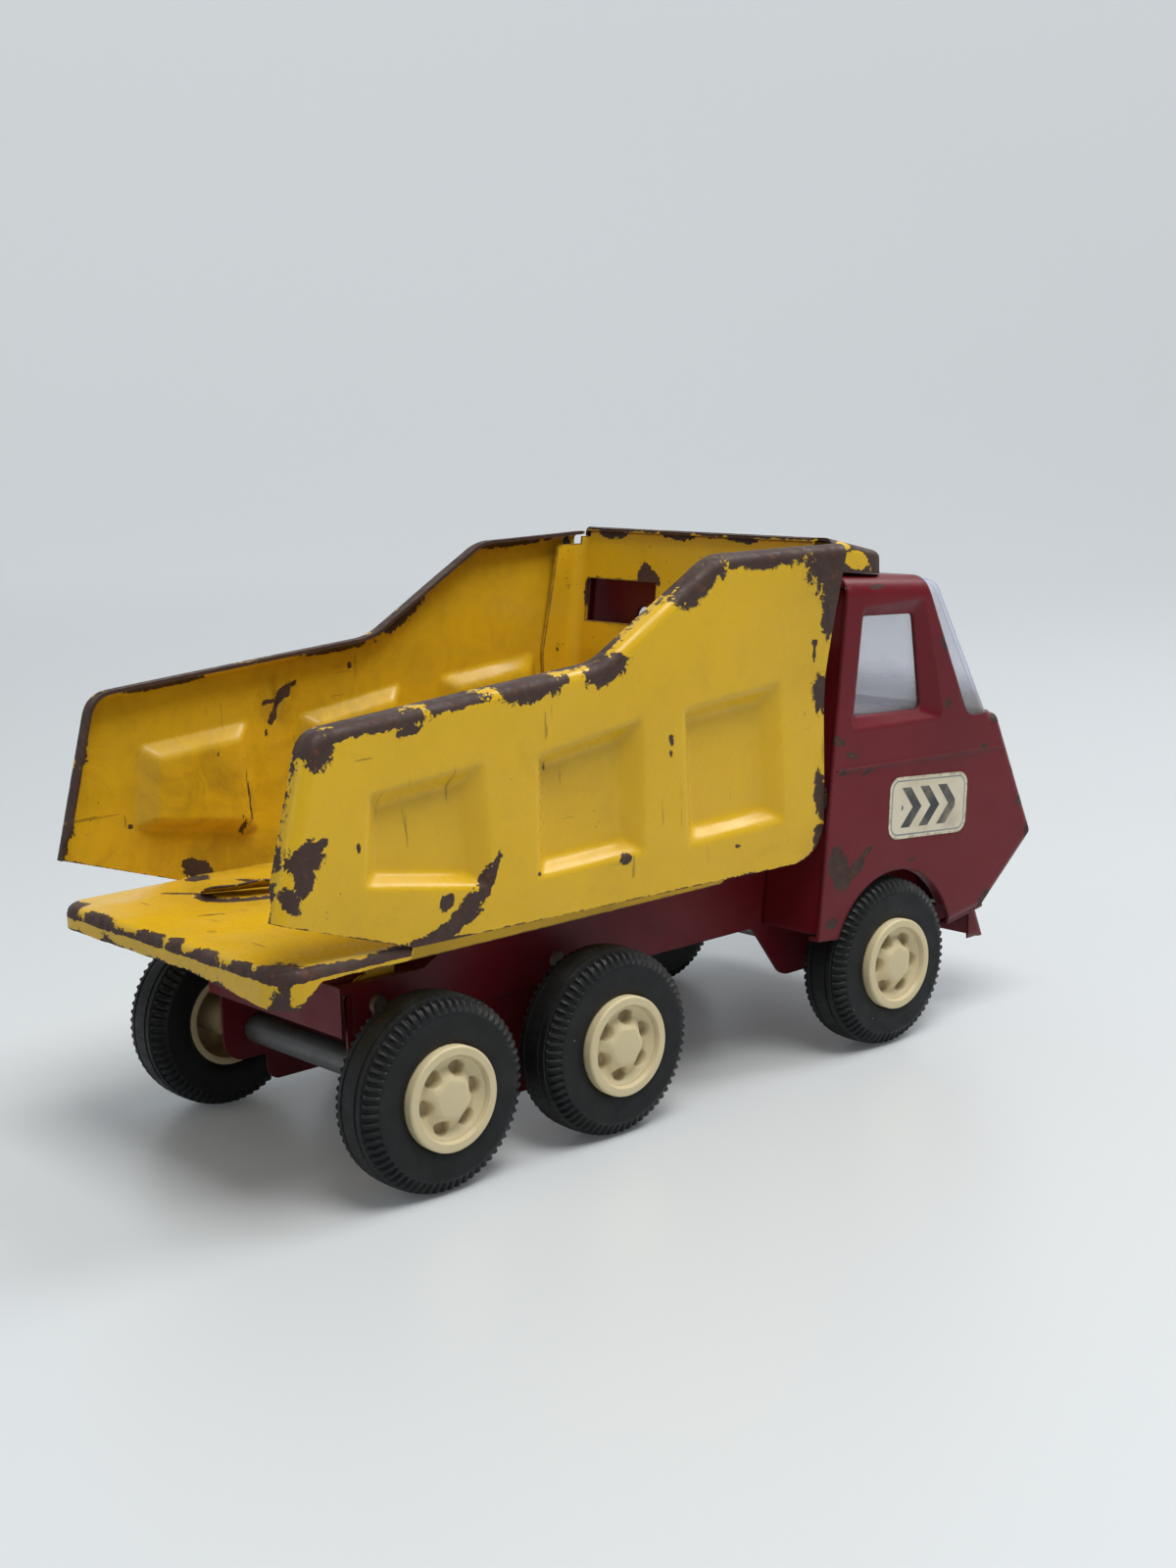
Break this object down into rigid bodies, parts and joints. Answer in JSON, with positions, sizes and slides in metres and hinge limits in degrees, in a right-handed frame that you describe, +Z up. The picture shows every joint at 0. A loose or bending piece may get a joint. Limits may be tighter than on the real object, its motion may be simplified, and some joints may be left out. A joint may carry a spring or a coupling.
{
  "type": "toy dump truck",
  "caption": "Pressed-steel toy dump truck: a cab over the front wheels, a chassis with tandem rear axles, and a worn open bed that tips backwards.",
  "frame": {"origin": "on the ground, at the middle of the truck's length and width", "axes": "+X forward along the truck, +Y to its left, +Z up"},
  "size_m": [0.2352, 0.0974, 0.1264],
  "materials": {
    "yellow_enamel": "glossy enamel over brown primer, chipped and rusty along its edges",
    "maroon_enamel": "glossy dark red enamel, scuffed",
    "rivet_steel": "dulled steel",
    "tube_steel": "grey, lightly rusted tube",
    "axle_steel": "drawn rod",
    "tyre": "dusty black rubber",
    "cream_plastic": "moulded, soft gloss",
    "clear_plastic": "clear, faintly lilac at its edges",
    "door_sticker": "printed film"
  },
  "bodies": {
    "truck": {"chassis_frame": "maroon_enamel", "bogie_bracket": "maroon_enamel", "bogie_rivets": "rivet_steel", "rear_spacer_tube": "tube_steel", "mid_spacer_tube": "tube_steel", "hinge_pin": "rivet_steel", "cab_shell": "maroon_enamel", "cab_rear_wall": "maroon_enamel", "cab_rivets": "rivet_steel", "windshield": "clear_plastic", "right_window_pane": "clear_plastic", "left_window_pane": "clear_plastic", "right_door_sticker": "door_sticker", "left_door_sticker": "door_sticker", "front_bumper": "maroon_enamel", "bumper_rivets": "rivet_steel"},
    "bed": {"dump_bed": "yellow_enamel", "bed_bulkhead": "yellow_enamel", "bed_subframe": "yellow_enamel"},
    "rear_wheelset": {"rear_axle": "axle_steel", "rear_right_hub": "cream_plastic", "rear_right_tyre": "tyre", "rear_left_hub": "cream_plastic", "rear_left_tyre": "tyre"},
    "mid_wheelset": {"mid_axle": "axle_steel", "mid_right_hub": "cream_plastic", "mid_right_tyre": "tyre", "mid_left_hub": "cream_plastic", "mid_left_tyre": "tyre"},
    "front_wheelset": {"front_axle": "axle_steel", "front_right_hub": "cream_plastic", "front_right_tyre": "tyre", "front_left_hub": "cream_plastic", "front_left_tyre": "tyre"}
  },
  "joints": [
    {"name": "bed_hinge", "type": "hinge", "parent": "truck", "child": "bed", "pos_m": [-0.0814, 0, 0.0368], "axis": [0, -1, 0], "range_deg": [0, 50]},
    {"name": "rear_axle_spin", "type": "hinge", "parent": "truck", "child": "rear_wheelset", "pos_m": [-0.0799, 0, 0.021], "axis": [0, 1, 0], "continuous": true},
    {"name": "mid_axle_spin", "type": "hinge", "parent": "truck", "child": "mid_wheelset", "pos_m": [-0.0315, 0, 0.021], "axis": [0, 1, 0], "continuous": true},
    {"name": "front_axle_spin", "type": "hinge", "parent": "truck", "child": "front_wheelset", "pos_m": [0.0597, 0, 0.021], "axis": [0, 1, 0], "continuous": true}
  ]
}
